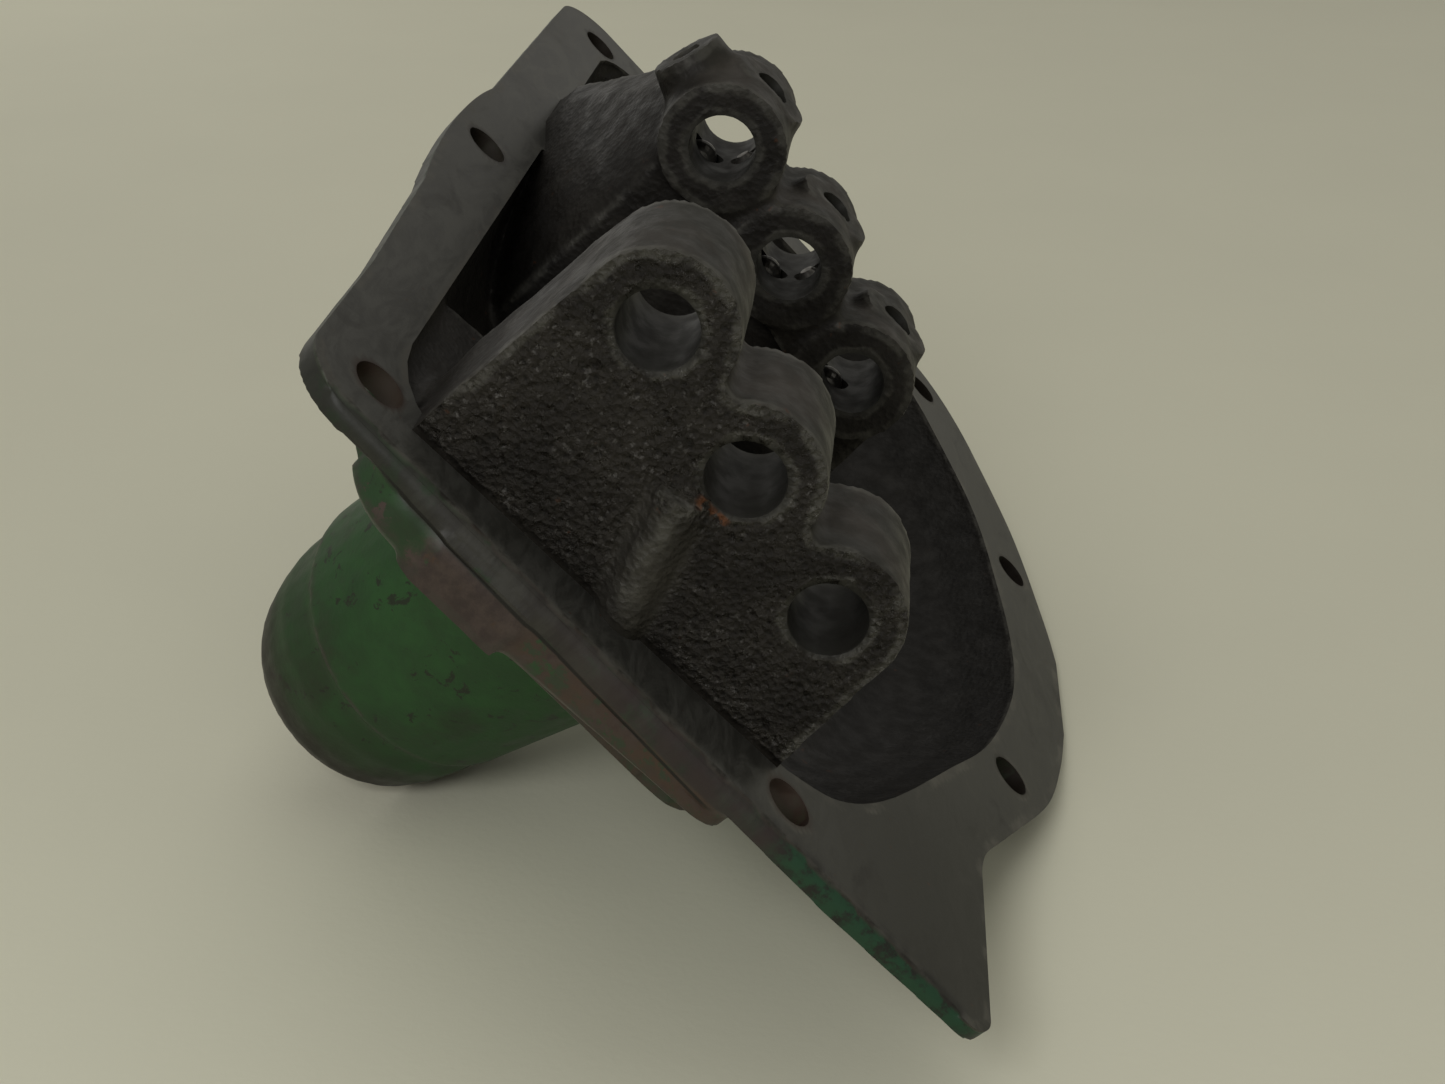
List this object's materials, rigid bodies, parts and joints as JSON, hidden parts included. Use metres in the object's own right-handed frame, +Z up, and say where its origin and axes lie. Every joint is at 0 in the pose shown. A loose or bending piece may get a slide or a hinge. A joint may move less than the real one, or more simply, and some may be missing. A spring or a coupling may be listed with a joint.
{
  "type": "gear shift cover",
  "caption": "Cast iron gear-shift cover of a tractor gearbox: gasket flange, shallow pan, bridge walls bored for shift rails, leaning lever tower, with detent balls and interlock pins.",
  "frame": {"origin": "under the middle of the object's box, on the bench it lies on", "axes": "+Y along the rail bores, from the near wall to the far wall; +Z up from the bench; +X towards the flange edge the cover rests on"},
  "size_m": [0.2538, 0.3884, 0.2287],
  "materials": {
    "casting": "bare sand-cast iron, ground gasket face, worn green paint on the tower",
    "ball": "polished hardened steel",
    "spring": "oiled spring wire",
    "pin": "ground steel",
    "plug": "dull pressed-in steel"
  },
  "bodies": {
    "casting": {"cover_casting": "casting", "detent_spring_1": "spring", "detent_spring_2": "spring", "detent_spring_3": "spring", "interlock_plug": "plug"},
    "ball_1": {"detent_ball_1": "ball"},
    "ball_2": {"detent_ball_2": "ball"},
    "ball_3": {"detent_ball_3": "ball"},
    "pin_12": {"interlock_pin_12": "pin"},
    "pin_23": {"interlock_pin_23": "pin"}
  },
  "joints": [
    {"name": "ball_1_press", "type": "slide", "parent": "casting", "child": "ball_1", "axis": [0.7148, 0, 0.6993], "range_m": [-0.0026, 0], "stiffness_N_per_m": 5000, "deforming": ["detent_spring_1"]},
    {"name": "ball_2_press", "type": "slide", "parent": "casting", "child": "ball_2", "axis": [0.7148, 0, 0.6993], "range_m": [-0.0026, 0], "stiffness_N_per_m": 5000, "deforming": ["detent_spring_2"]},
    {"name": "ball_3_press", "type": "slide", "parent": "casting", "child": "ball_3", "axis": [0.7148, 0, 0.6993], "range_m": [-0.0026, 0], "stiffness_N_per_m": 5000, "deforming": ["detent_spring_3"]},
    {"name": "pin_12_slide", "type": "slide", "parent": "casting", "child": "pin_12", "axis": [0.4854, 0, -0.8743], "range_m": [-0.00125, 0.00125]},
    {"name": "pin_23_slide", "type": "slide", "parent": "casting", "child": "pin_23", "axis": [0.4854, 0, -0.8743], "range_m": [-0.00125, 0.00125]}
  ]
}
